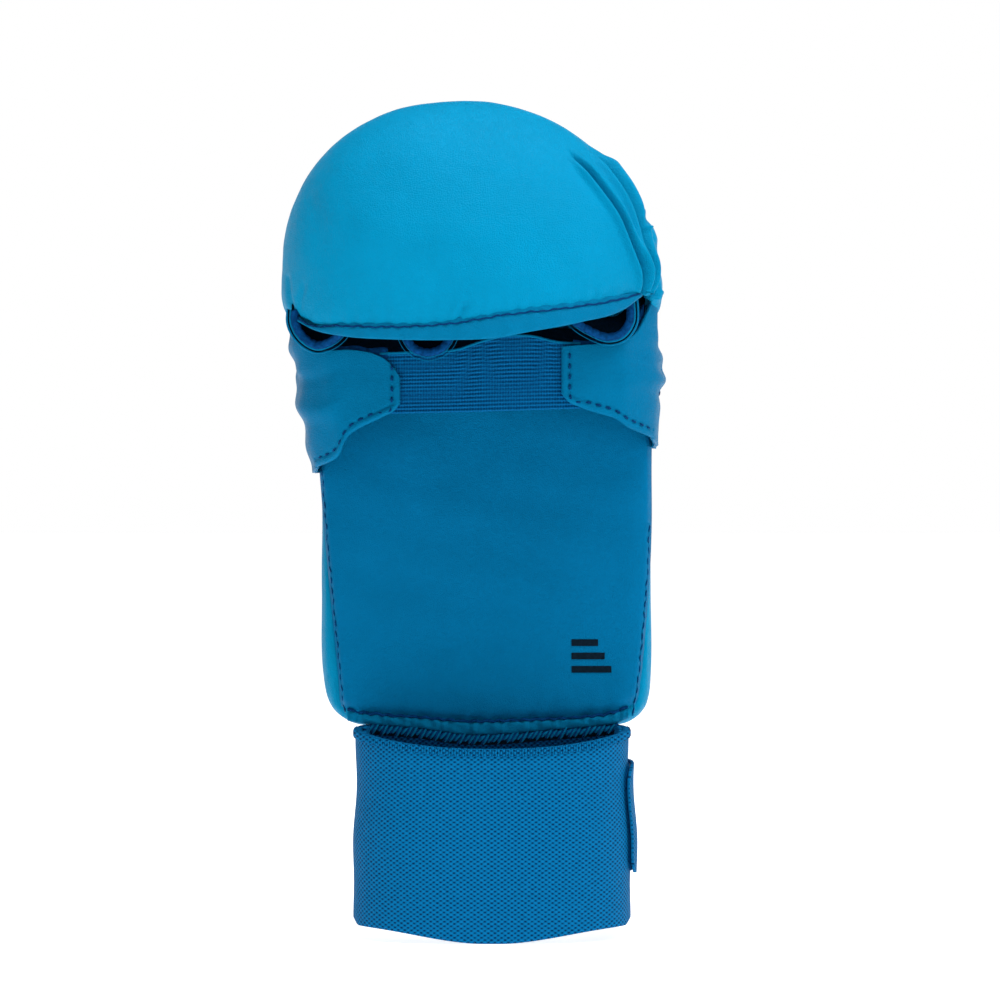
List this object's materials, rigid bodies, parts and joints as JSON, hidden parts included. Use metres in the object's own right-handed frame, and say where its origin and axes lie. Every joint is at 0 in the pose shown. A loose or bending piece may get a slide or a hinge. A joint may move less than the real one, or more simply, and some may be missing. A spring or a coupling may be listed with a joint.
{
  "type": "karate mitt",
  "caption": "Padded karate mitt with a domed fist pad, palm wings joined by elastic, finger loops and a wide elastic wrist cuff with a hook-and-loop tab.",
  "frame": {"origin": "middle of the mitt's footprint on the plane that its cuff stands on", "axes": "+Z from the wrist to the knuckles, +Y towards the back of the hand, the palm faces -Y"},
  "size_m": [0.1126, 0.078, 0.2468],
  "materials": {
    "cover_leather": "smooth satin",
    "lining_leather": "matt",
    "foam": "matt",
    "thread": "matt",
    "knit_binding": "matt",
    "palm_elastic": "matt",
    "cuff_elastic": "matt",
    "tab_webbing": "matt",
    "loop_tape": "matt",
    "hook_tape": "matt",
    "print_ink": "matt"
  },
  "bodies": {
    "hand_back": {"back_cover": "cover_leather", "back_foam": "foam", "palm_lining": "lining_leather", "lining_seam_left": "thread", "lining_seam_right": "thread", "wrist_seam": "thread", "wrist_binding": "knit_binding", "lining_print": "print_ink", "wing_left": "cover_leather", "wing_facing_left": "knit_binding", "wing_right": "cover_leather", "wing_facing_right": "knit_binding", "palm_band": "palm_elastic", "strap_back": "cuff_elastic", "tab_anchor": "tab_webbing"},
    "fist": {"fist_cover": "cover_leather", "hem_binding": "cover_leather", "fist_foam": "foam", "hem_facing": "lining_leather", "fist_lining": "lining_leather", "finger_loop_1": "knit_binding", "finger_loop_2": "knit_binding", "finger_loop_3": "knit_binding", "finger_loop_4": "knit_binding"},
    "strap": {"strap_front": "cuff_elastic", "loop_patch": "loop_tape"},
    "tab": {"closure_tab": "tab_webbing", "hook_patch": "hook_tape"}
  },
  "joints": [
    {"name": "knuckle_flex", "type": "hinge", "parent": "hand_back", "child": "fist", "pos_m": [0, 0.03, 0.187], "axis": [1, 0, 0], "range_deg": [-20, 4], "stiffness_Nm_per_rad": 0.6},
    {"name": "strap_open", "type": "hinge", "parent": "hand_back", "child": "strap", "pos_m": [-0.0346, 0.01, 0.03], "axis": [0, 0, -1], "range_deg": [0, 100]},
    {"name": "tab_peel", "type": "hinge", "parent": "hand_back", "child": "tab", "pos_m": [0.04875, 0.013, 0.035], "axis": [0, 0, 1], "range_deg": [0, 110]}
  ]
}
